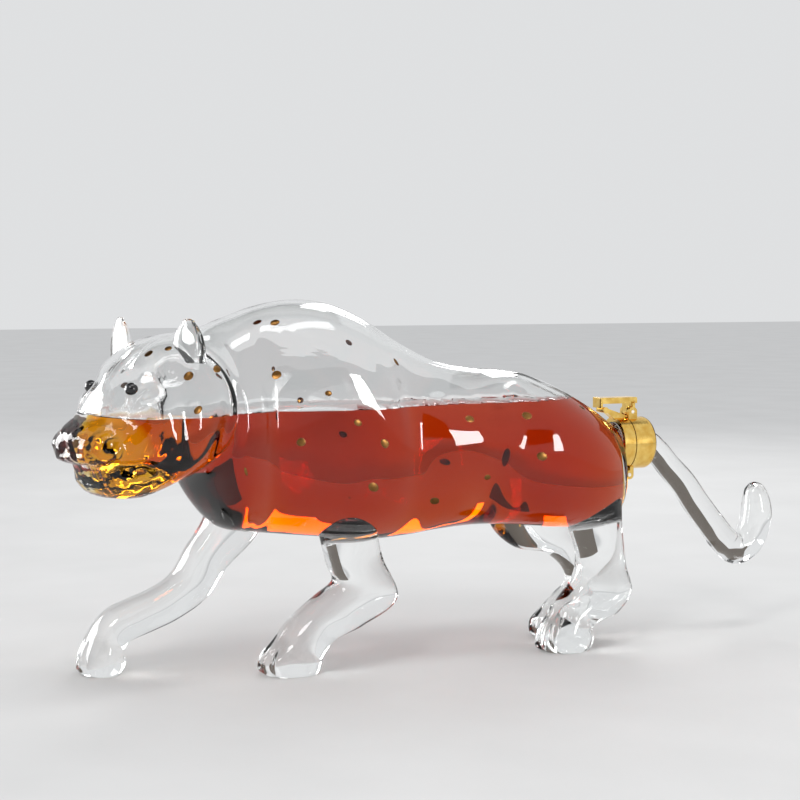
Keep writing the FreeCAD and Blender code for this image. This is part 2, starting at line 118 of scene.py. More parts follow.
def grid_normals(points: Array) -> Array:
    """Unit normals of a grid closed around its columns: the cross product of its two differences.

    Args:
        points: rings by columns by coordinates.

    Returns:
        One unit normal for each point.
    """
    along = np.gradient(points, axis=0)
    around = np.roll(points, -1, axis=1) - np.roll(points, 1, axis=1)
    normals = np.cross(around, along)
    return normals / np.maximum(np.linalg.norm(normals, axis=2, keepdims=True), TINY)


def read_grid(grid: Array, along: Array, around: Array) -> Array:
    """Read a grid between its points, the four corners of a cell weighed by nearness.

    Args:
        grid: rings by columns by coordinates, closed around its columns.
        along: ring numbers, with fractions.
        around: column numbers, with fractions.

    Returns:
        The values there.
    """
    row, column = np.floor(along).astype(int), np.floor(around).astype(int)
    row_part, column_part = (along - row)[..., None], (around - column)[..., None]
    first, second = column % grid.shape[1], (column + 1) % grid.shape[1]
    near = grid[row, first] * (1 - column_part) + grid[row, second] * column_part
    far = grid[row + 1, first] * (1 - column_part) + grid[row + 1, second] * column_part
    return near * (1 - row_part) + far * row_part


def ring_quads(index: Array) -> Array:
    """Quads between neighbouring rings of point numbers, each ring closed on itself.

    Args:
        index: point numbers, with rings and columns as the last two axes.

    Returns:
        Rows of four point numbers.
    """
    after = np.roll(index, -1, axis=-1)
    corners = [index[..., :-1, :], after[..., :-1, :], after[..., 1:, :], index[..., 1:, :]]
    return np.stack(corners, axis=-1).reshape(-1, 4)


def shade_smooth(mesh: bpy.types.Mesh) -> None:
    """Shade every face of a mesh smooth."""
    mesh.polygons.foreach_set("use_smooth", np.ones(len(mesh.polygons), bool))


def finished_object(name: str, mesh: bpy.types.Mesh) -> bpy.types.Object:
    """Merge doubles, turn the faces outwards by the sign of the volume, and link the object.

    Args:
        name: name of the piece.
        mesh: its closed mesh.

    Returns:
        The new object, at the origin, shaded smooth.
    """
    work = bmesh.new()
    work.from_mesh(mesh)
    bmesh.ops.remove_doubles(work, verts=work.verts, dist=WELD)
    bmesh.ops.recalc_face_normals(work, faces=work.faces)
    if work.calc_volume(signed=True) < 0:
        bmesh.ops.reverse_faces(work, faces=work.faces)
    work.to_mesh(mesh)
    work.free()
    shade_smooth(mesh)
    piece = bpy.data.objects.new(name, mesh)
    bpy.context.scene.collection.objects.link(piece)
    return piece


def grid_object(name: str, points: Array) -> bpy.types.Object:
    """A closed mesh from rings: quads between rings, and a fan to the middle of each end ring.

    Args:
        name: name of the piece.
        points: rings by columns by coordinates.

    Returns:
        The new object.
    """
    rings, columns, _ = points.shape
    index = np.arange(rings * columns).reshape(rings, columns)
    after = np.roll(index, -1, axis=1)
    first, last = rings * columns, rings * columns + 1
    fans = np.concatenate([
        np.stack([after[0], index[0], np.full(columns, first)], axis=-1),
        np.stack([index[-1], after[-1], np.full(columns, last)], axis=-1)])
    ends = np.stack([points[0].mean(0), points[-1].mean(0)])
    corners = np.concatenate([points.reshape(-1, 3), ends])
    mesh = bpy.data.meshes.new(name)
    mesh.from_pydata(corners.tolist(), [], ring_quads(index).tolist() + fans.tolist())
    return finished_object(name, mesh)


def trimmed(piece: bpy.types.Object, cutter: bpy.types.Object) -> bpy.types.Object:
    """Cut a piece back to the outside of another, so that the two meet like fused glass.

    Args:
        piece: the piece to cut.
        cutter: the closed form that is taken away.

    Returns:
        The same piece.
    """
    cut = piece.modifiers.new("seat", "BOOLEAN")
    cut.operation = "DIFFERENCE"
    cut.solver = "EXACT"
    cut.object = cutter
    seen = piece.evaluated_get(bpy.context.evaluated_depsgraph_get())
    mesh = bpy.data.meshes.new_from_object(seen)
    piece.modifiers.clear()
    piece.data = mesh
    shade_smooth(mesh)
    return piece


def swellings(points: Array, normals: Array, bumps: list[tuple]) -> Array:
    """Push a grid along its normals by a sum of soft bumps.

    Each bump adds height times exp(-half the squared distance), the distance along each axis of the
    bump measured in its own radii. A ring takes the distance from its unit circle, over its width.

    Args:
        points: grid of points.
        normals: unit normals of the grid.
        bumps: rows of centre, three axes, three radii, height, and ring width or 0 for a bump.

    Returns:
        The moved grid.
    """
    push = np.zeros(points.shape[:2])
    for centre, axes, radii, height, ring in bumps:
        local = (points - centre) @ np.asarray(axes).T / np.asarray(radii)
        square = (local ** 2).sum(-1)
        push += height * np.exp(-0.5 * (((np.sqrt(square) - 1) / ring) ** 2 if ring else square))
    return points + normals * push[..., None]


class Value:
    """A shader socket that takes part in plain arithmetic."""

    def __init__(self, nodes: "Nodes", socket: Any) -> None:
        """Keep the socket and the tree that it belongs to."""
        self.nodes = nodes
        self.socket = socket

    def _math(self, operation: str, first: Any, second: Any) -> "Value":
        """Add one Math node on two values."""
        return self.nodes.add("ShaderNodeMath", {"operation": operation}, {0: first, 1: second})

    def __add__(self, other: Any) -> "Value":
        """Sum."""
        return self._math("ADD", self, other)

    def __sub__(self, other: Any) -> "Value":
        """Difference."""
        return self._math("SUBTRACT", self, other)

    def __rsub__(self, other: Any) -> "Value":
        """Difference with the number first."""
        return self._math("SUBTRACT", other, self)

    def __mul__(self, other: Any) -> "Value":
        """Product."""
        return self._math("MULTIPLY", self, other)

    __radd__ = __add__
    __rmul__ = __mul__

    def __or__(self, other: Any) -> "Value":
        """The larger of two values."""
        return self._math("MAXIMUM", self, other)

    def sibling(self, name: str) -> "Value":
        """Another output of the same node."""
        return Value(self.nodes, self.socket.node.outputs[name])


class Nodes:
    """A node tree that nodes are added to."""

    def __init__(self, tree: bpy.types.NodeTree) -> None:
        """Keep the tree."""
        self.tree = tree

    def feed(self, value: Any, socket: Any) -> None:
        """Link a Value to a socket, or set the socket to a constant."""
        if isinstance(value, Value):
            self.tree.links.new(value.socket, socket)
        else:
            socket.default_value = value

    def node(self, kind: str, settings: dict, inputs: dict) -> bpy.types.Node:
        """Add a node.

        Args:
            kind: node type.
            settings: properties, set first; "stops" sets a colour ramp's stops.
            inputs: socket name or number to a number, colour or Value.

        Returns:
            The node.
        """
        node = self.tree.nodes.new(kind)
        for key, setting in settings.items():
            if key == "stops":
                for element, (place, colour) in zip(node.color_ramp.elements, setting):
                    element.position = place
                    element.color = colour
            else:
                setattr(node, key, setting)
        for key, value in inputs.items():
            self.feed(value, node.inputs[key])
        return node

    def add(self, kind: str, settings: dict, inputs: dict, out: int | str = 0) -> Value:
        """Add a node and take one of its outputs."""
        return Value(self, self.node(kind, settings, inputs).outputs[out])


class Finish(Nodes):
    """A material's node tree with its surface shader."""

    def __init__(self, name: str) -> None:
        """Start a material."""
        self.material = bpy.data.materials.new(name)
        self.material.use_nodes = True
        super().__init__(self.material.node_tree)
        self.shader = next(node for node in self.tree.nodes if node.type == "BSDF_PRINCIPLED")
        self.output = next(node for node in self.tree.nodes if node.type == "OUTPUT_MATERIAL")

    def noise(self, scale: float, detail: float) -> Value:
        """Even noise about 0.5 on object coordinates."""
        place = self.add("ShaderNodeTexCoord", {}, {}, "Object")
        return self.add("ShaderNodeTexNoise", {}, {"Vector": place, "Scale": scale, "Detail": detail})

    def ramp(self, amount: Value, stops: tuple) -> Value:
        """Colour between two stops, each a place and a colour."""
        return self.add("ShaderNodeValToRGB", {"stops": stops}, {"Fac": amount})

    def set(self, **inputs: Any) -> None:
        """Set or link the surface shader's sockets, with _ for spaces in their names."""
        for key, value in inputs.items():
            self.feed(value, self.shader.inputs[key.replace("_", " ")])

    def bump(self, height: Value, distance: float, strength: float) -> None:
        """Feed a height to the surface normal."""
        inputs = {"Height": height, "Distance": distance, "Strength": strength}
        self.set(Normal=self.add("ShaderNodeBump", {}, inputs))


@dataclass(frozen=True)
class ClearGlass:
    """Blown glass: colourless, polished, with slow waves left by the blowing."""

    name: str = "clear_glass"
    tint: tuple = (0.985, 0.992, 0.99, 1)
    index: float = 1.47
    wave_scale: float = 38.0
    wave_detail: float = 1.0
    wave_depth: float = 0.0006
    wave_strength: float = 0.35

    def make(self) -> bpy.types.Material:
        """The material."""
        finish = Finish(self.name)
        waves = finish.noise(self.wave_scale, self.wave_detail)
        finish.set(Base_Color=self.tint, Roughness=0.0, IOR=self.index, Transmission_Weight=1.0)
        finish.bump(waves, self.wave_depth, self.wave_strength)
        return finish.material


@dataclass(frozen=True)
class Liquor:
    """Aged spirit: amber where it is thin and deep red brown where it is thick."""

    name: str = "liquor"
    tint: tuple = (1.0, 0.90, 0.72, 1)
    index: float = 1.0
    colour: tuple = (0.942, 0.745, 0.0, 1)
    density: float = 212.0

    def make(self) -> bpy.types.Material:
        """The material: an absorbing inside, whose surface the glass around it bends light for."""
        finish = Finish(self.name)
        finish.set(Base_Color=self.tint, Roughness=0.0, IOR=self.index, Transmission_Weight=1.0)
        inputs = {"Color": self.colour, "Density": self.density}
        inside = finish.add("ShaderNodeVolumeAbsorption", {}, inputs)
        finish.feed(inside, finish.output.inputs["Volume"])
        return finish.material


@dataclass(frozen=True)
class Metal:
    """Polished metal with faint turning marks and handling haze."""

    name: str
    dark: tuple
    light: tuple
    roughness: float
    haze: float
    spread: tuple = (0.3, 0.7)
    cloud_scale: float = 260.0
    cloud_detail: float = 4.0
    mark_scale: float = 2600.0
    mark_detail: float = 1.0
    mark_depth: float = 0.00002
    mark_strength: float = 0.25

    def make(self) -> bpy.types.Material:
        """The material."""
        finish = Finish(self.name)
        cloud = finish.noise(self.cloud_scale, self.cloud_detail)
        colour = finish.ramp(cloud, tuple(zip(self.spread, (self.dark, self.light))))
        marks = finish.noise(self.mark_scale, self.mark_detail)
        finish.set(Base_Color=colour, Metallic=1.0, Roughness=cloud * self.haze + self.roughness)
        finish.bump(marks, self.mark_depth, self.mark_strength)
        return finish.material


@dataclass(frozen=True)
class Gloss:
    """A smooth opaque surface with a little variation in colour and polish."""

    name: str
    dark: tuple
    light: tuple
    roughness: float
    haze: float = 0.12
    coat: float = 0.3
    spread: tuple = (0.35, 0.65)
    cloud_scale: float = 300.0
    cloud_detail: float = 3.0
    cloud_depth: float = 0.00003
    cloud_strength: float = 0.3

    def make(self) -> bpy.types.Material:
        """The material."""
        finish = Finish(self.name)
        cloud = finish.noise(self.cloud_scale, self.cloud_detail)
        colour = finish.ramp(cloud, tuple(zip(self.spread, (self.dark, self.light))))
        polish = cloud * self.haze + self.roughness
        finish.set(Base_Color=colour, Roughness=polish, Coat_Weight=self.coat)
        finish.bump(cloud, self.cloud_depth, self.cloud_strength)
        return finish.material


@dataclass(frozen=True)
class Matt:
    """A matt surface of the stage, with a faint mottle where its two colours differ."""

    name: str
    dark: tuple
    light: tuple
    roughness: float
    sheen: float
    spread: tuple = (0.3, 0.7)
    cloud_scale: float = 12.0
    cloud_detail: float = 3.0

    def make(self) -> bpy.types.Material:
        """The material."""
        finish = Finish(self.name)
        cloud = finish.noise(self.cloud_scale, self.cloud_detail)
        colour = finish.ramp(cloud, tuple(zip(self.spread, (self.dark, self.light))))
        finish.set(Base_Color=colour, Roughness=self.roughness, Specular_IOR_Level=self.sheen)
        return finish.material


GLASS = ClearGlass()
SPIRIT = Liquor()
GILT = Metal("gilt_brass", (0.80, 0.47, 0.09, 1), (0.98, 0.68, 0.20, 1), 0.10, 0.10)
PIN_STEEL = Metal("steel_pin", (0.50, 0.46, 0.40, 1), (0.72, 0.68, 0.60, 1), 0.20, 0.15)
LUSTRE = Metal("bronze_lustre", (0.10, 0.045, 0.012, 1), (0.30, 0.15, 0.045, 1), 0.22, 0.2)
BEAD = Gloss("black_bead", (0.004, 0.004, 0.005, 1), (0.012, 0.012, 0.014, 1), 0.03)
SILICONE = Gloss("clear_silicone", (0.72, 0.71, 0.68, 1), (0.86, 0.85, 0.82, 1), 0.4)
FLOOR = Matt("floor", (0.605, 0.60, 0.59, 1), (0.635, 0.63, 0.62, 1), 0.6, 0.0)


def dress(piece: bpy.types.Object, material: bpy.types.Material) -> None:
    """Give a piece its one material."""
    piece.data.materials.clear()
    piece.data.materials.append(material)


def settle(piece: bpy.types.Object, material: bpy.types.Material, body: Body, slot: Slot,
           *nodes: str) -> None:
    """Dress a piece, ride it on its body and hide the nodes that it stands for.

    Args:
        piece: the piece.
        material: its material.
        body: the body that it moves with.
        slot: a material slot name, not used.
        nodes: names of the replaced nodes.
    """
    dress(piece, material)
    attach(piece, body.value)
    if nodes:
        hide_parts(*nodes)
    LOG.info("%s on %s, %d faces", piece.name, body.value, len(piece.data.polygons))


@dataclass
class BlownBody:
    """Body and head as one blown form, with its wall, neck and liquor. Sizes in mm.

    Rows of the torso are shares of its length, the top and bottom of the shoulder height, and of the
    width. Rows of the head add the share of its turn. Rows of bumps are the share along the torso or
    head, mm aside and above the floor, radii and push, and those aside are made on both sides.
    """

    shoulder_height: float = 180.0
    torso_length: float = 197.0
    torso_width: float = 76.0
    head_length: float = 109.0
    head_width: float = 70.0
    head_turn: float = 24.0
    first_turn_share: float = 0.12
    widest_share: float = 0.46
    fullness: float = 2.5
    soft_edge: float = 6.0
    nose_round: float = 6.0
    tip_first: float = 0.1
    tip_rings: int = 14
    rings: int = 230
    columns: int = 128

    crinkle: float = 0.65
    crinkle_pitch: float = 8.0
    crinkle_lines: tuple = ((0.9, 0.3, 0.5), (-0.4, 0.8, 0.6), (0.2, -0.6, 0.9))
    crinkle_spot: tuple = (0.87, 0.0, 106.0)
    crinkle_reach: tuple = (17.0, 40.0, 14.0)

    neck_radius: float = 10.0
    bore_radius: float = 7.4
    neck_length: float = 8.0
    flare: float = 1.6
    flare_first: float = 0.2
    flare_rings: int = 5
    flare_bite: float = 0.2
    lip_rings: int = 9
    lip_depth: float = 2.0
    bore_rings: int = 4

    wall: float = 2.4
    muzzle_wall: float = 6.5
    thick_start: float = 0.87
    thick_stretch: float = 0.08
    solid_nose: float = 5.0
    nose_least: float = 0.02
    rump_rings: int = 5
    seat_depth: float = 0.25

    level: float = 128.0
    least_air: float = 0.6
    film: float = 0.05
    muzzle_core: float = 0.33
    core_start: float = 0.76
    core_stretch: float = 0.10

    torso_shares: tuple = (
        (0.000, 0.622, 0.410, 0.42), (0.012, 0.636, 0.382, 0.54), (0.033, 0.651, 0.362, 0.64),
        (0.071, 0.680, 0.349, 0.76), (0.122, 0.714, 0.346, 0.85), (0.203, 0.758, 0.349, 0.91),
        (0.305, 0.790, 0.359, 0.91), (0.416, 0.801, 0.364, 0.87), (0.533, 0.828, 0.357, 0.87),
        (0.629, 0.885, 0.344, 0.92), (0.731, 0.955, 0.341, 0.97), (0.832, 0.995, 0.354, 1.00),
        (0.924, 1.000, 0.365, 0.985), (1.000, 0.985, 0.374, 0.95))
    head_shares: tuple = (
        (0.117, 0.966, 0.385, 0.98, 0.35), (0.205, 0.950, 0.402, 0.94, 0.55),
        (0.275, 0.936, 0.455, 0.91, 0.75), (0.335, 0.927, 0.530, 0.90, 0.90),
        (0.400, 0.921, 0.568, 0.92, 1.00), (0.475, 0.917, 0.562, 0.97, 1.00),
        (0.555, 0.909, 0.540, 0.98, 1.00), (0.640, 0.887, 0.522, 0.94, 1.00),
        (0.725, 0.848, 0.515, 0.85, 1.00), (0.810, 0.795, 0.530, 0.74, 1.00),
        (0.885, 0.737, 0.562, 0.62, 1.00), (0.950, 0.688, 0.585, 0.48, 1.00),
        (1.000, 0.650, 0.597, 0.30, 1.00))

    muscle_rows: tuple = (
        (0.80, 34, 128, (15, 14, 27), 4.6), (0.72, 36, 96, (12, 12, 18), 3.2),
        (0.63, 36, 118, (7, 14, 34), -3.8), (0.90, 34, 104, (10, 14, 20), 2.2),
        (0.22, 33, 98, (20, 14, 24), 3.8), (0.40, 34, 84, (13, 12, 16), -3.2),
        (0.12, 30, 74, (14, 12, 14), 1.6), (0.47, 34, 112, (15, 12, 14), 2.4),
        (0.30, 14, 143, (9, 6, 6), 3.0), (0.99, 33, 122, (7, 14, 30), -3.0),
        (0.86, 21, 173, (16, 7, 8), 0.7), (0.56, 20, 140, (16, 8, 9), -1.8),
        (0.33, 34, 118, (6, 12, 20), -1.8), (0.52, 32, 76, (8, 10, 10), 1.8),
        (0.45, 0, 147, (60, 5, 8), 1.2))
    face_rows: tuple = (
        (0.775, 19, 152, (7, 8, 3.6), 3.4), (0.790, 25, 142, (5.5, 6, 5), -3.0),
        (0.745, 28, 133, (8, 7, 5), 2.2), (0.915, 14, 117, (6, 6, 6), 4.2),
        (0.915, 19, 117, (2.2, 4, 2.2), -1.6), (0.850, 19, 127, (6, 6, 5), -2.2),
        (0.865, 19, 106, (10, 7, 2.2), -3.8), (0.780, 25, 107, (7, 7, 2.4), -3.2),
        (0.820, 14, 97, (11, 9, 5), 3.2), (0.560, 33, 118, (10, 9, 20), 3.0),
        (0.985, 4, 114, (3, 2.4, 2.2), -1.8), (0.690, 30, 116, (8, 8, 10), 2.0),
        (0.620, 20, 160, (8, 8, 6), 2.0), (0.640, 32, 128, (4, 8, 12), -2.0))
    middle_rows: tuple = (
        (0.97, 0, 119, (5, 6, 4), 2.0), (0.945, 0, 104, (5, 11, 3), -4.0),
        (0.85, 0, 95, (7, 8, 5), 2.4), (0.72, 0, 160, (12, 3, 8), -1.2))
    ring_rows: tuple = (
        (0.905, 17, 116, 7.0, -1.3), (0.785, 26, 141, 6.5, 1.3), (0.66, 27, 152, 6.0, -1.2))
    ring_width: float = 0.22

    ruff_arc: tuple = (55.0, -75.0, 12)
    ruff_lines: tuple = ((1.0, -2.2), (0.84, 1.5))
    ruff_spot: tuple = (0.56, 22.0, 131.0)
    ruff_spread: tuple = (-0.23, 12.0, 34.0)
    ruff_radii: tuple = (2.4, 9.0, 5.0)

    rump_x: float = field(init=False)
    axis_y: float = field(init=False)
    axis_z: float = field(init=False)
    origin: Array = field(init=False)
    places: Array = field(init=False)
    points: Array = field(init=False)
    normals: Array = field(init=False)

    def __post_init__(self) -> None:
        """Find the rump face and the neck's axis in the frame, and work out the outer grid."""
        self.rump_x = float(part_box("glass_body")[1][0]) - self.neck_length * MM
        low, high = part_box("neck_sleeve")
        self.axis_y = float(low[1] + high[1]) / 2
        self.axis_z = float(low[2] + high[2]) / 2
        self.origin = np.array([self.rump_x, self.axis_y, 0.0])
        self.places = self.ring_places()
        self.points = self.outer_grid()
        self.normals = grid_normals(self.points)

    def head_axes(self) -> Array:
        """Forward, leftward and upward directions of the head."""
        turn = math.radians(self.head_turn)
        forward = [-math.cos(turn), -math.sin(turn), 0.0]
        return np.array([forward, [math.sin(turn), -math.cos(turn), 0.0], [0.0, 0.0, 1.0]])

    def head_spot(self, along: float, aside: float, height: float) -> Array:
        """A place on the head.

        Args:
            along: share of the head's length from its root.
            aside: mm to the head's left.
            height: mm above the floor.

        Returns:
            The place in metres.
        """
        forward, left, up = self.head_axes()
        root = np.array([-self.torso_length, 0.0, 0.0])
        place = root + forward * self.head_length * along + left * aside + up * height
        return self.origin + place * MM

    def torso_spot(self, along: float, aside: float, height: float) -> Array:
        """A place on the torso, as for the head, with the share taken from the rump."""
        return self.origin + np.array([-self.torso_length * along, -aside, height]) * MM

    def angles(self) -> Array:
        """Angles of the columns, from the belly up the left side and over."""
        return full_turn(self.columns, -QUARTER)

    def stations(self) -> tuple[Array, Array]:
        """The rows of torso and head as one list.

        Returns:
            Places along the body, and at each the centre, turn, half width, top and bottom in mm.
        """
        torso, head = np.array(self.torso_shares), np.array(self.head_shares)
        forward = self.head_axes()[0]
        back = torso[:, 0] * self.torso_length
        reach = head[:, 0] * self.head_length
        turns = np.concatenate([np.where(torso[:, 0] == 1, self.first_turn_share, 0), head[:, 4]])
        widths = np.concatenate([torso[:, 3] * self.torso_width, head[:, 3] * self.head_width])
        rows = np.column_stack([
            np.concatenate([-back, -self.torso_length + reach * forward[0]]),
            np.concatenate([back * 0, reach * forward[1]]),
            turns * math.radians(self.head_turn),
            widths / 2,
            np.concatenate([torso[:, 1], head[:, 1]]) * self.shoulder_height,
            np.concatenate([torso[:, 2], head[:, 2]]) * self.shoulder_height])
        return np.concatenate([back, self.torso_length + reach]), rows

    def ring_places(self) -> Array:
        """Places of the rings in mm from the rump: even, and along a sine in the nose's round."""
        start = self.torso_length + self.head_length - self.nose_round
        even = np.linspace(0, start, self.rings - self.tip_rings)
        tip = np.sin(np.linspace(self.tip_first, 1.0, self.tip_rings) * QUARTER)
        return np.concatenate([even, start + self.nose_round * tip])

    def outer_grid(self) -> Array:
        """Rings from the rump to the nose.

        A ring is an oval: half width times the cosine, and top or bottom height times the sine, with
        the lower half raised to a power that fills the belly. Towards the nose the ring shrinks by
        a quarter round. Muscles, face and crinkles then push the grid along its normals.

        Returns:
            Rings by columns by coordinates.
        """
        x, y, turn, half, top, bottom = smooth_between(*self.stations(), self.places).T
        share = (self.places - self.places[-1] + self.nose_round) / self.nose_round
        shrink = quarter_round(np.clip(share, 0, 1))
        middle = bottom + self.widest_share * (top - bottom)
        aside, lift = np.cos(self.angles()), np.sin(self.angles())
        low = lift < 0
        power = 2 / self.fullness
        aside = np.where(low, np.sign(aside) * np.abs(aside) ** power, aside)
        lift = np.where(low, -np.abs(lift) ** power, lift)
        heights = np.where(low[None], (middle - bottom)[:, None], (top - middle)[:, None])
        across = half[:, None] * aside[None] * shrink[:, None]
        rise = heights * lift[None] * shrink[:, None]
        points = np.stack([x[:, None] + np.sin(turn)[:, None] * across,
                           y[:, None] - np.cos(turn)[:, None] * across,
                           middle[:, None] + rise], axis=-1) * MM + self.origin
        points = swellings(points, grid_normals(points), self.muscles() + self.face())
        torso = self.places <= self.torso_length
        points[torso, :, 1] = self.held_width(points[torso, :, 1])
        return points + grid_normals(points) * self.crinkles(points) * MM

    def held_width(self, across: Array) -> Array:
        """Hold the muscles within the torso's width: past the soft limit they follow a tanh curve.

        Args:
            across: Y of the torso's points.

        Returns:
            The held Y.
        """
        aside = across - self.axis_y
        edge = self.soft_edge * MM
        soft = self.torso_width / 2 * MM - edge
        over = np.maximum(np.abs(aside) - soft, 0) / edge
        held = np.minimum(np.abs(aside), soft) + edge * np.tanh(over)
        return self.axis_y + np.sign(aside) * held

    def crinkles(self, points: Array) -> Array:
        """Small folds of the muzzle: a product of sines along three slanted lines, faded around it.

        Args:
            points: the grid.

        Returns:
            The push at each point, in mm.
        """
        waves = 2 * np.pi / (self.crinkle_pitch * MM) * (points @ np.array(self.crinkle_lines).T)
        local = (points - self.head_spot(*self.crinkle_spot)) @ self.head_axes().T
        square = ((local / (np.array(self.crinkle_reach) * MM)) ** 2).sum(-1, keepdims=True)
        return self.crinkle * np.sin(waves).prod(-1, keepdims=True) * np.exp(-0.5 * square)

    def bumps(self, rows: tuple | list, spot: Callable[[float, float, float], Array], axes: Array,
              ring: float = 0.0) -> list[tuple]:
        """Bumps from rows.

        Args:
            rows: share along, mm aside, height, radii and push of each.
            spot: finds a place from the first three.
            axes: the bumps' three axes.
            ring: ring width, or 0 for plain bumps.

        Returns:
            Bumps as swellings takes them, on both sides where they lie aside.
        """
        found = []
        for along, aside, height, radii, push in rows:
            for side in Side if aside else (Side.LEFT,):
                centre = spot(along, -side.value * aside, height)
                found.append((centre, axes, np.broadcast_to(radii, 3) * MM, push * MM, ring))
        return found

    def muscles(self) -> list[tuple]:
        """Shoulder blades, haunches, spine, hip bones and the hollows between them."""
        return self.bumps(self.muscle_rows, self.torso_spot, np.eye(3))

    def ruff(self) -> list[tuple]:
        """Rows of the crease behind the cheeks and the roll before it, along an arc on each side."""
        along, aside, height = self.ruff_spot
        reach, bulge, rise = self.ruff_spread
        return [(along + reach * back * math.cos(turn), aside + bulge * math.cos(turn),
                 height + rise * back * math.sin(turn), self.ruff_radii, push)
                for turn in np.radians(np.linspace(*self.ruff_arc)) for back, push in self.ruff_lines]

    def face(self) -> list[tuple]:
        """Brows, eye hollows, cheeks, whisker pads, nose, jaw and the crease behind the ruff."""
        axes = self.head_axes()
        rings = self.bumps(self.ring_rows, self.head_spot, axes, self.ring_width)
        rows = [*self.face_rows, *self.ruff(), *self.middle_rows]
        return self.bumps(rows, self.head_spot, axes) + rings

    def ring_round_neck(self, offset: float, radius: float) -> Array:
        """One ring about the neck's axis, in the grid's column order.

        Args:
            offset: mm behind the rump face.
            radius: mm.

        Returns:
            Columns by coordinates.
        """
        angle = self.angles()
        return np.stack([np.full(self.columns, self.rump_x + offset * MM),
                         self.axis_y - np.cos(angle) * radius * MM,
                         self.axis_z + np.sin(angle) * radius * MM], axis=-1)

    def neck_rings(self) -> list[Array]:
        """Rings of the neck: a flared root, a straight wall, a rounded lip and the bore."""
        lip = 0.5 * (self.neck_radius - self.bore_radius)
        rings = [self.ring_round_neck(self.flare * (1 - math.cos(turn)) - self.flare_bite,
                                      self.neck_radius + self.flare * (1 - math.sin(turn)))
                 for turn in np.linspace(self.flare_first, QUARTER, self.flare_rings)]
        rings += [self.ring_round_neck(self.neck_length - lip + lip * math.sin(turn),
                                       self.neck_radius - lip + lip * math.cos(turn))
                  for turn in np.linspace(0, np.pi, self.lip_rings)]
        rings += [self.ring_round_neck(offset, self.bore_radius) for offset in
                  np.linspace(self.neck_length - self.lip_depth, -self.wall, self.bore_rings)]
        return rings

    def inner_grid(self) -> Array:
        """Rings of the hollow from the neck's root forward: the outer grid drawn in along its normals.

        The wall thickens towards the muzzle by the square of the share of that stretch, and the
        hollow ends in a quarter round short of the nose.

        Returns:
            Rings by columns by coordinates.
        """
        share = np.linspace(0, 1, self.rings)[:, None, None]
        thick = np.clip((share - self.thick_start) / self.thick_stretch, 0, 1) ** 2
        wall = self.wall + (self.muzzle_wall - self.wall) * thick
        drawn = self.points - self.normals * wall * MM
        left = (self.places[-1] - self.solid_nose - self.places) / self.solid_nose
        drawn = drawn[left > 0]
        left = np.clip(left[left > 0], self.nose_least, 1)[:, None, None]
        middle = drawn.mean(1, keepdims=True)
        return (middle + (drawn - middle) * np.sqrt(1 - (1 - left) ** 2))[self.rump_rings:]

    def air_grid(self) -> Array:
        """Rings of the air over the liquor: the hollow's rings that rise above the level, cut at it.

        A point below the level is lifted to it and drawn in to the ring's width there.

        Returns:
            Rings by columns by coordinates.
        """
        rings = self.inner_grid()
        rings = rings[rings[..., 2].max(1) > (self.level + self.least_air) * MM]
        above = rings[..., 2] >= self.level * MM
        middle = rings.mean(1, keepdims=True)
        aside = (rings - middle)[..., :2]
        spread = np.linalg.norm(aside, axis=2)
        shore = np.where(above, spread, 0).max(1, keepdims=True)
        pull = np.where(above, 1, np.minimum(1, shore / np.maximum(spread, TINY)))
        rings[..., :2] = middle[..., :2] + aside * pull[..., None]
        rings[..., 2] = np.maximum(rings[..., 2], self.level * MM)
        return rings

    def glass(self) -> bpy.types.Object:
        """The blown glass: outer skin, neck, lip and bore, and within them the skin of the air.

        Glass and liquor bend light nearly alike, so the glass runs on through the liquor's place,
        which the liquor then colours, and its inner skin shows only where it meets air.

        Returns:
            The piece.
        """
        rings = np.concatenate([self.points[::-1], np.stack(self.neck_rings())])
        skin = grid_object("blown_glass", rings)
        air = grid_object("air", self.air_grid())
        inside = bmesh.new()
        inside.from_mesh(air.data)
        bmesh.ops.reverse_faces(inside, faces=inside.faces)
        inside.from_mesh(skin.data)
        inside.to_mesh(skin.data)
        inside.free()
        shade_smooth(skin.data)
        bpy.data.objects.remove(air)
        return skin

    def liquor(self) -> bpy.types.Object:
        """The liquor: the hollow's rings cut flat at the level, a hair below the air.

        In the muzzle, whose glass is thick, each ring is drawn in sideways to a share of its width.
        The share falls along a smooth step, three times the square less twice the cube.

        Returns:
            The piece.
        """
        rings = self.inner_grid()
        part = (np.linspace(0, 1, len(rings)) - self.core_start) / self.core_stretch
        part = np.clip(part, 0, 1)
        drawn = (1 - self.muzzle_core) * (3 * part ** 2 - 2 * part ** 3)
        left = self.head_axes()[1]
        aside = (rings - rings.mean(1, keepdims=True)) @ left
        rings -= (aside * drawn[:, None])[..., None] * left
        rings[..., 2] = np.minimum(rings[..., 2], (self.level - self.film) * MM)
        return grid_object("liquor", rings)

    def cutter(self) -> bpy.types.Object:
        """The body's outside, drawn in by a hair, used to seat the legs and ears."""
        return grid_object("seat_form", self.points - self.normals * self.seat_depth * MM)


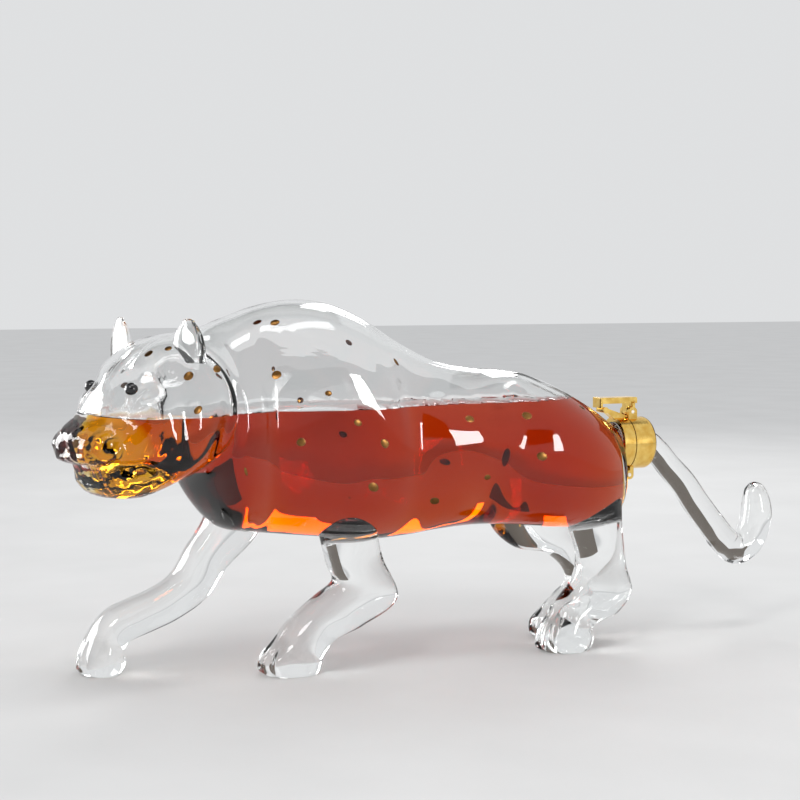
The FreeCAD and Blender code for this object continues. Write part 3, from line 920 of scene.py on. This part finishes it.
@dataclass
class LustreSpots:
    """Sparse bronze lustre spots fired on the outside of the body. Sizes in mm.

    A place is the share of the way from rump to nose, the share of the way round from the belly up
    the left side, and the radius. The left side's places follow the photograph and the right side's
    are near mirrors.
    """

    seed: int = 11
    drift: float = 0.03
    squash: float = 0.78
    dome: float = 0.22
    sink: float = 0.05
    first_ring: float = 0.08
    rings: int = 5
    steps: int = 18
    left_places: tuple = (
        (0.839, 0.445, 2.3), (0.813, 0.344, 2.6), (0.765, 0.336, 2.4), (0.813, 0.273, 2.2),
        (0.613, 0.328, 2.6), (0.600, 0.414, 2.3), (0.491, 0.266, 2.0), (0.465, 0.195, 2.7),
        (0.448, 0.250, 2.2), (0.357, 0.172, 2.4), (0.300, 0.320, 2.3), (0.200, 0.336, 2.6),
        (0.183, 0.258, 2.7), (0.817, 0.422, 1.9), (0.535, 0.297, 1.7), (0.578, 0.242, 2.2),
        (0.090, 0.400, 2.0), (0.700, 0.190, 1.9), (0.270, 0.220, 1.8), (0.410, 0.385, 2.0))

    def rows(self, body: BlownBody) -> Array:
        """Rows of ring, column, long radius and short radius in metres, for both sides."""
        draw = np.random.default_rng(self.seed)
        left = np.array(self.left_places)
        right = np.column_stack([left[:, 0], 1 - left[:, 1], left[:, 2]])
        right[:, :2] += draw.uniform(-self.drift, self.drift, (len(right), 2))
        both = np.concatenate([left, right])
        size = both[:, 2] * MM
        return np.column_stack(
            [both[:, 0] * body.rings, both[:, 1] * body.columns, size, size * self.squash])

    def patches(self, body: BlownBody) -> Array:
        """Small domed patches that lie on the body's grid.

        A patch's rings run from its middle to its rim. Its place on the grid is the middle plus the
        ring's radius turned by an angle, divided by the grid's own step there, and its height falls
        with the square of the radius to just below the surface at the rim.

        Args:
            body: the body that carries them.

        Returns:
            Patches by rings by steps by coordinates.
        """
        points, spots = body.points, self.rows(body)
        reach = np.linspace(self.first_ring, 1.0, self.rings)[None, :, None]
        turn = full_turn(self.steps)
        row, column = spots[:, 0].astype(int), spots[:, 1].astype(int)
        middle = points[row, column]
        step_along = np.linalg.norm(points[row + 1, column] - middle, axis=-1)
        step_round = np.linalg.norm(points[row, (column + 1) % body.columns] - middle, axis=-1)
        long, short = (spots[:, 2] / step_along), (spots[:, 3] / step_round)
        along = spots[:, 0, None, None] + reach * np.cos(turn) * long[:, None, None]
        around = spots[:, 1, None, None] + reach * np.sin(turn) * short[:, None, None]
        height = ((self.dome * (1 - reach ** 2) - self.sink) * MM)[..., None]
        return read_grid(points, along, around) + read_grid(body.normals, along, around) * height

    def make(self, body: BlownBody) -> bpy.types.Object:
        """One mesh of all the spots.

        Args:
            body: the body that carries them.

        Returns:
            The piece.
        """
        patches = self.patches(body)
        index = np.arange(patches[..., 0].size).reshape(patches.shape[:3])
        mesh = bpy.data.meshes.new("lustre_spots")
        faces = ring_quads(index).tolist() + index[:, 0].tolist()
        mesh.from_pydata(patches.reshape(-1, 3).tolist(), [], faces)
        return finished_object("lustre_spots", mesh)


@dataclass
class Leg:
    """A solid glass leg with a padded paw. Sizes in mm.

    Rows of the outline run from top to sole: X and Z of the front edge, X and Z of the back edge, all
    shares of the height, and the share of the girth.
    """

    name: str
    place_share: float
    side: Side
    outline: tuple
    height: float = 98.0
    girth: float = 27.0
    spread: float = 17.0
    least_step: float = 3.0
    rings: int = 130
    columns: int = 80
    toe_shares: tuple = (-0.80, -0.28, 0.28, 0.80)
    toe_setback: float = 2.2
    toe_spot: tuple = (-0.5, 0.0, 5.0)
    toe_form: tuple = ((4.6, 2.5, 4.6), 3.0)
    claw_spot: tuple = (-2.0, 0.0, 3.5)
    claw_form: tuple = ((2.2, 1.2, 1.8), 1.2)
    groove_shares: tuple = (-0.54, 0.0, 0.54)
    groove_spot: tuple = (0.0, 0.0, 7.0)
    groove_form: tuple = ((8.0, 0.9, 6.0), -1.9)
    heel_spot: tuple = (0.0, 0.0, 4.0)
    heel_form: tuple = ((4.0, 7.0, 4.0), 1.4)

    def grid(self, body: BlownBody) -> Array:
        """Rings from the top to the sole: ovals across the front and back edges of the outline.

        Args:
            body: the body that it stands under.

        Returns:
            Rings by columns by coordinates.
        """
        rows = np.array(self.outline)
        front, back = rows[:, 0:2] * self.height, rows[:, 2:4] * self.height
        steps = np.linalg.norm(np.diff((front + back) / 2, axis=0), axis=1)
        knots = np.concatenate([[0], np.cumsum(np.maximum(steps, self.least_step))])
        at = np.linspace(0, knots[-1], self.rings)
        front, back = smooth_between(knots, front, at), smooth_between(knots, back, at)
        width = smooth_between(knots, rows[:, 4], at) * self.girth / 2
        angle = full_turn(self.columns)
        half, centre = (front - back) / 2, (front + back) / 2
        flat = centre[:, None, :] + half[:, None, :] * np.sin(angle)[None, :, None]
        x = flat[..., 0] - self.place_share * body.torso_length
        y = width[:, None] * np.cos(angle)[None] + self.side.value * self.spread
        points = np.stack([x, y, flat[..., 1]], axis=-1) * MM + body.origin
        return self.with_toes(points)

    def with_toes(self, points: Array) -> Array:
        """Swell four clawed toes and a heel pad, part the toes with grooves and keep the sole flat.

        Args:
            points: the leg's grid.

        Returns:
            The moved grid.
        """
        sole = points[-1]
        low, high = sole.min(0), sole.max(0)
        middle, half = (low[1] + high[1]) / 2, (high[1] - low[1]) / 2
        toe_x, heel_x = low[0], high[0]
        rows = []
        for share in self.toe_shares:
            tip = np.array([toe_x + self.toe_setback * abs(share) * MM, middle + share * half, 0.0])
            rows.append((tip, self.toe_spot, self.toe_form))
            rows.append((tip, self.claw_spot, self.claw_form))
        for share in self.groove_shares:
            gap = np.array([toe_x, middle + share * half, 0.0])
            rows.append((gap, self.groove_spot, self.groove_form))
        rows.append((np.array([heel_x, middle, 0.0]), self.heel_spot, self.heel_form))
        bumps = [(base + np.array(spot) * MM, np.eye(3), np.array(radii) * MM, push * MM, 0)
                 for base, spot, (radii, push) in rows]
        moved = swellings(points, grid_normals(points[:, ::-1])[:, ::-1], bumps)
        moved[..., 2] = np.maximum(moved[..., 2], 0.0)
        moved[-1, :, 2] = 0.0
        return moved

    def make(self, body: BlownBody, cutter: bpy.types.Object) -> bpy.types.Object:
        """The leg, seated on the body."""
        return trimmed(grid_object(self.name + "_glass", self.grid(body)), cutter)


LEGS = (
    Leg("front_left_leg", 0.792, Side.LEFT, (
        (-0.19, 1.000, 0.16, 1.000, 1.00), (-0.158, 0.776, 0.158, 0.766, 1.00),
        (-0.128, 0.643, 0.168, 0.663, 0.93), (-0.101, 0.531, 0.193, 0.551, 0.89),
        (-0.071, 0.449, 0.274, 0.347, 0.89), (-0.158, 0.378, 0.084, 0.211, 0.89),
        (-0.256, 0.301, -0.067, 0.148, 0.93), (-0.348, 0.204, -0.139, 0.061, 0.97),
        (-0.420, 0.064, -0.149, 0.020, 1.00), (-0.395, 0.000, -0.160, 0.000, 0.85))),
    Leg("front_right_leg", 1.020, Side.RIGHT, (
        (-0.12, 0.980, 0.21, 0.850, 0.97), (-0.177, 0.735, 0.079, 0.622, 0.93),
        (-0.270, 0.592, -0.073, 0.472, 0.85), (-0.348, 0.469, -0.164, 0.342, 0.82),
        (-0.455, 0.403, -0.312, 0.245, 0.78), (-0.578, 0.357, -0.465, 0.184, 0.78),
        (-0.670, 0.316, -0.552, 0.153, 0.82), (-0.751, 0.230, -0.593, 0.112, 0.85),
        (-0.797, 0.102, -0.593, 0.046, 0.93), (-0.765, 0.000, -0.620, 0.000, 0.78))),
    Leg("hind_left_leg", 0.094, Side.LEFT, (
        (-0.20, 0.960, 0.13, 1.000, 0.97), (-0.179, 0.735, 0.138, 0.776, 1.00),
        (-0.143, 0.622, 0.143, 0.643, 0.97), (-0.111, 0.520, 0.158, 0.528, 0.89),
        (-0.111, 0.439, 0.174, 0.423, 0.85), (-0.143, 0.357, 0.209, 0.296, 0.85),
        (-0.199, 0.293, 0.127, 0.179, 0.85), (-0.270, 0.199, -0.020, 0.122, 0.89),
        (-0.308, 0.092, -0.036, 0.041, 0.97), (-0.281, 0.000, -0.056, 0.000, 0.82))),
    Leg("hind_right_leg", 0.155, Side.RIGHT, (
        (-0.33, 0.860, 0.15, 0.960, 0.97), (-0.31, 0.610, 0.14, 0.735, 0.97),
        (-0.18, 0.500, 0.17, 0.592, 0.93), (0.00, 0.460, 0.245, 0.490, 0.85),
        (0.115, 0.367, 0.320, 0.378, 0.82), (0.135, 0.296, 0.350, 0.255, 0.82),
        (0.065, 0.235, 0.285, 0.117, 0.82), (-0.010, 0.158, 0.205, 0.061, 0.89),
        (-0.046, 0.071, 0.185, 0.031, 0.93), (-0.020, 0.000, 0.165, 0.000, 0.78))),
)


@dataclass
class Ear:
    """A small cupped ear on the crown of the head. Sizes in mm.

    Rows of the outline are shares of the height, the width and the thickness.
    """

    side: Side
    along_share: float = 0.560
    aside_share: float = 0.36
    seat: float = 160.7
    height: float = 15.0
    width: float = 15.0
    thickness: float = 6.5
    splay: float = 10.0
    hollow_share: float = 0.35
    cap_rise: float = 0.10
    cap_end: float = 0.97
    cap_rings: int = 8
    rings: int = 48
    columns: int = 48
    outline: tuple = (
        (-0.55, 1.30, 1.30), (0.00, 1.22, 1.10), (0.28, 1.06, 0.90), (0.50, 0.80, 0.70),
        (0.68, 0.46, 0.50))

    @property
    def name(self) -> str:
        """Name of the ear's node."""
        return self.side.name.lower() + "_ear"

    def make(self, body: BlownBody, cutter: bpy.types.Object) -> bpy.types.Object:
        """The ear, trimmed to the head: ovals up its outline, flatter in front, under a round cap.

        Args:
            body: the body that carries it.
            cutter: the form that it is trimmed to.

        Returns:
            The piece.
        """
        rows = np.array(self.outline)
        at = np.linspace(rows[0, 0], rows[-1, 0], self.rings - self.cap_rings)
        width, thick = smooth_between(rows[:, 0], rows[:, 1:], at).T
        cap = np.linspace(0, 1, self.cap_rings + 1)[1:]
        close = np.cos(cap * self.cap_end * QUARTER)
        rise = np.concatenate([at, at[-1] + self.cap_rise * np.sin(cap * QUARTER)])
        width = np.concatenate([width, width[-1] * close])
        thick = np.concatenate([thick, thick[-1] * close])
        ahead, aside, up = body.head_axes()
        turn = -self.side.value * math.radians(self.splay)
        forward = ahead * math.cos(turn) + aside * math.sin(turn)
        left = aside * math.cos(turn) - ahead * math.sin(turn)
        offset = -self.side.value * body.head_width * self.aside_share
        base = body.head_spot(self.along_share, offset, self.seat)
        angle = full_turn(self.columns)
        cup = np.where(np.sin(angle) > 0, self.hollow_share, 1.0) * np.sin(angle)
        across = (width * self.width / 2)[:, None] * np.cos(angle)[None]
        depth = (thick * self.thickness / 2)[:, None] * cup[None]
        lift = np.broadcast_to((rise * self.height)[:, None], across.shape)
        moved = across[..., None] * left + depth[..., None] * forward + lift[..., None] * up
        return trimmed(grid_object(self.name + "_glass", base + moved * MM), cutter)


@dataclass
class Tail:
    """Solid glass tail from the lid's socket down and round to its curled tip. Sizes in mm.

    Rows of the line are shares of the reach, the drop and the girth.
    """

    root_radius: float = 6.3
    socket_depth: float = 7.0
    lid_end: float = 20.5
    reach: float = 69.2
    drop: float = 60.4
    girth: float = 17.0
    tip_round: float = 3.0
    rings: int = 220
    columns: int = 64
    line: tuple = (
        (0.087, -0.075, 0.755), (0.195, -0.215, 0.785), (0.318, -0.360, 0.82),
        (0.457, -0.575, 0.86), (0.593, -0.765, 0.88), (0.712, -0.920, 0.93),
        (0.815, -1.000, 0.97), (0.912, -0.945, 1.00), (0.980, -0.805, 1.00),
        (1.000, -0.665, 0.98), (0.991, -0.530, 0.82), (0.974, -0.440, 0.55),
        (0.965, -0.400, 0.30))

    def make(self, body: BlownBody) -> bpy.types.Object:
        """Circles carried along the smooth line, shrinking at the tip by a quarter round.

        Args:
            body: the body, whose neck the tail's root lines up with.

        Returns:
            The piece.
        """
        rows = np.array(self.line)
        root = np.column_stack([np.linspace(-self.socket_depth, 0, 3), np.zeros(3)])
        line = np.concatenate([root, rows[:, :2] * (self.reach, self.drop)])
        girth = np.concatenate([np.full(3, self.root_radius), rows[:, 2] * self.girth / 2])
        steps = np.linalg.norm(np.diff(line, axis=0), axis=1)
        knots = np.concatenate([[0], np.cumsum(steps)])
        at = np.linspace(0, knots[-1], self.rings)
        path = smooth_between(knots, line, at)
        share = (at - knots[-1] + self.tip_round) / self.tip_round
        radius = smooth_between(knots, girth, at) * quarter_round(np.clip(share, 0, 1))
        tangent = np.gradient(path, at, axis=0)
        tangent /= np.linalg.norm(tangent, axis=1, keepdims=True)
        angle = full_turn(self.columns)
        side = radius[:, None] * np.cos(angle)[None]
        rise = radius[:, None] * np.sin(angle)[None]
        x = path[:, 0, None] - tangent[:, 1, None] * rise + self.lid_end
        z = path[:, 1, None] + tangent[:, 0, None] * rise
        start = np.array([body.rump_x, body.axis_y, body.axis_z])
        return grid_object("tail_glass", np.stack([x, side, z], axis=-1) * MM + start)


@dataclass
class Closure:
    """The gilt closure with its pins and seals, and the eye beads, which keep their own solids."""

    gilt: tuple = ("collar", "lid_cap", "latch_lever")
    steel: tuple = ("hinge_pin", "lever_pivot")
    beads: tuple = ("left_eye", "right_eye")
    soft: tuple = ("neck_sleeve", "seal_disc", "tail_bush")

    def finish(self) -> None:
        """Give each node its material."""
        groups = {GILT: self.gilt, PIN_STEEL: self.steel, BEAD: self.beads, SILICONE: self.soft}
        for look, nodes in groups.items():
            material = look.make()
            for node in nodes:
                dress(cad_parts[node], material)
                LOG.info("%s finished as %s", node, look.name)


@dataclass(frozen=True)
class Lamp:
    """A soft rectangular lamp, which with shine is seen only in reflections and through glass."""

    name: str
    place: tuple
    aim: tuple
    size: tuple
    power: float
    shine: bool = False

    def make(self) -> None:
        """Hang the lamp and turn it to its aim."""
        data = bpy.data.lights.new(self.name, "AREA")
        data.shape = "RECTANGLE"
        data.size, data.size_y = self.size
        data.energy = self.power
        lamp = bpy.data.objects.new(self.name, data)
        lamp.location = self.place
        lamp.visible_diffuse = lamp.visible_camera = not self.shine
        look = Vector(self.aim) - Vector(self.place)
        lamp.rotation_euler = look.to_track_quat("-Z", "Y").to_euler()
        bpy.context.scene.collection.objects.link(lamp)


def sheet(name: str, corners: tuple, finish: Matt) -> bpy.types.Object:
    """A four-cornered sheet of the stage.

    Args:
        name: its name.
        corners: its corners in order.
        finish: its finish.

    Returns:
        The new object.
    """
    mesh = bpy.data.meshes.new(name)
    mesh.from_pydata(corners, [], [(0, 1, 2, 3)])
    piece = bpy.data.objects.new(name, mesh)
    bpy.context.scene.collection.objects.link(piece)
    dress(piece, finish.make())
    return piece


@dataclass(frozen=True)
class Card:
    """A plain card outside the picture, which gives the glass its dark edges."""

    name: str
    corners: tuple
    colour: tuple = (0.02, 0.02, 0.02, 1)
    roughness: float = 0.9
    sheen: float = 0.5

    def make(self) -> None:
        """Set the card up, hidden from the camera and from the floor."""
        finish = Matt(self.name, self.colour, self.colour, self.roughness, self.sheen)
        card = sheet(self.name, self.corners, finish)
        card.visible_camera = card.visible_diffuse = card.visible_shadow = False


@dataclass
class Studio:
    """Pale floor, soft lamps, plain world and the photograph's camera. Sizes in metres."""

    focal_px: float = 1800.0
    frame_px: float = 800.0
    camera_place: tuple = (-0.3566, -0.8217, 0.1903)
    heading: float = 22.0
    pitch: float = 3.85
    sensor: float = 36.0
    clip_start: float = 0.01
    floor_reach: float = 6.0
    fill_colour: tuple = (0.95, 0.97, 1.0, 1)
    fill_strength: float = 0.95
    seen_colour: tuple = (0.86, 0.87, 0.88, 1)
    seen_strength: float = 0.86
    lamps: tuple = (
        Lamp("key", (-0.75, -0.75, 0.95), (0, 0, 0.1), (0.28, 0.28), 3.5),
        Lamp("rim", (0.45, 0.85, 0.8), (0, 0, 0.1), (0.2, 0.7), 3.0),
        Lamp("top", (0.1, -0.25, 1.2), (0, 0, 0.1), (0.8, 0.16), 2.5),
        Lamp("back", (-0.85, 0.55, 0.30), (-0.15, 0, 0.1), (0.7, 0.55), 13.0, True),
        Lamp("flank", (0.42, -0.95, 0.30), (0, 0, 0.12), (0.14, 0.36), 3.6, True))
    cards: tuple = (
        Card("right_card", ((0.50, 0.1, 0.0), (0.46, 0.6, 0.0), (0.46, 0.6, 0.3), (0.50, 0.1, 0.3)),
             (0.10, 0.08, 0.06, 1)),
        Card("ceiling_card", ((-0.9, 0.1, 1.5), (0.9, 0.1, 1.5), (0.9, 1.3, 1.3), (-0.9, 1.3, 1.3))),
        Card("front_card",
             ((-1.0, -1.2, 0.35), (0.6, -1.5, 0.35), (0.6, -1.5, 1.0), (-1.0, -1.2, 1.0))))

    def camera(self) -> None:
        """A long lens at the photograph's height and angle."""
        data = bpy.data.cameras.new("camera")
        data.sensor_width = self.sensor
        data.lens = self.focal_px / self.frame_px * self.sensor
        data.clip_start = self.clip_start
        eye = bpy.data.objects.new("camera", data)
        eye.location = self.camera_place
        turn, dip = math.radians(self.heading), math.radians(self.pitch)
        level = math.cos(dip)
        look = Vector((math.sin(turn) * level, math.cos(turn) * level, -math.sin(dip)))
        eye.rotation_euler = look.to_track_quat("-Z", "Y").to_euler()
        bpy.context.scene.collection.objects.link(eye)
        bpy.context.scene.camera = eye

    def floor(self) -> None:
        """A pale floor that runs far back."""
        far = self.floor_reach
        sheet("floor", ((-far, -far, 0), (far, -far, 0), (far, far, 0), (-far, far, 0)), FLOOR)

    def world(self) -> None:
        """Even light on surfaces, and a pale backdrop for the eye, reflections and through glass."""
        world = bpy.data.worlds.new("studio")
        bpy.context.scene.world = world
        world.use_nodes = True
        world.node_tree.nodes.clear()
        nodes = Nodes(world.node_tree)
        eye = nodes.add("ShaderNodeLightPath", {}, {}, "Is Camera Ray")
        seen = eye | eye.sibling("Is Glossy Ray") | eye.sibling("Is Transmission Ray")
        fill = nodes.add("ShaderNodeBackground", {},
                         {"Color": self.fill_colour, "Strength": self.fill_strength})
        backdrop = nodes.add("ShaderNodeBackground", {},
                             {"Color": self.seen_colour, "Strength": self.seen_strength})
        mixed = nodes.add("ShaderNodeMixShader", {}, {0: seen, 1: fill, 2: backdrop})
        nodes.node("ShaderNodeOutputWorld", {}, {"Surface": mixed})

    def build(self) -> None:
        """Set the stage."""
        bpy.context.scene.view_settings.view_transform = "Standard"
        self.camera()
        self.floor()
        self.world()
        for piece in self.lamps + self.cards:
            piece.make()


def main() -> None:
    """Build the decanter's pieces, dress them and set the stage."""
    Studio().build()
    glass, spirit, lustre = GLASS.make(), SPIRIT.make(), LUSTRE.make()
    body = BlownBody()
    cutter = body.cutter()
    settle(body.glass(), glass, Body.DECANTER, Slot.GLASS, "glass_body")
    settle(body.liquor(), spirit, Body.DECANTER, Slot.GLASS)
    for leg in LEGS:
        settle(leg.make(body, cutter), glass, Body.DECANTER, Slot.GLASS, leg.name)
    for ear in map(Ear, Side):
        settle(ear.make(body, cutter), glass, Body.DECANTER, Slot.GLASS, ear.name)
    bpy.data.objects.remove(cutter)
    settle(LustreSpots().make(body), lustre, Body.DECANTER, Slot.GILT)
    settle(Tail().make(body), glass, Body.LID, Slot.GLASS, "tail")
    Closure().finish()


if __name__ == "__main__":
    logging.basicConfig(level=logging.INFO)
    main()
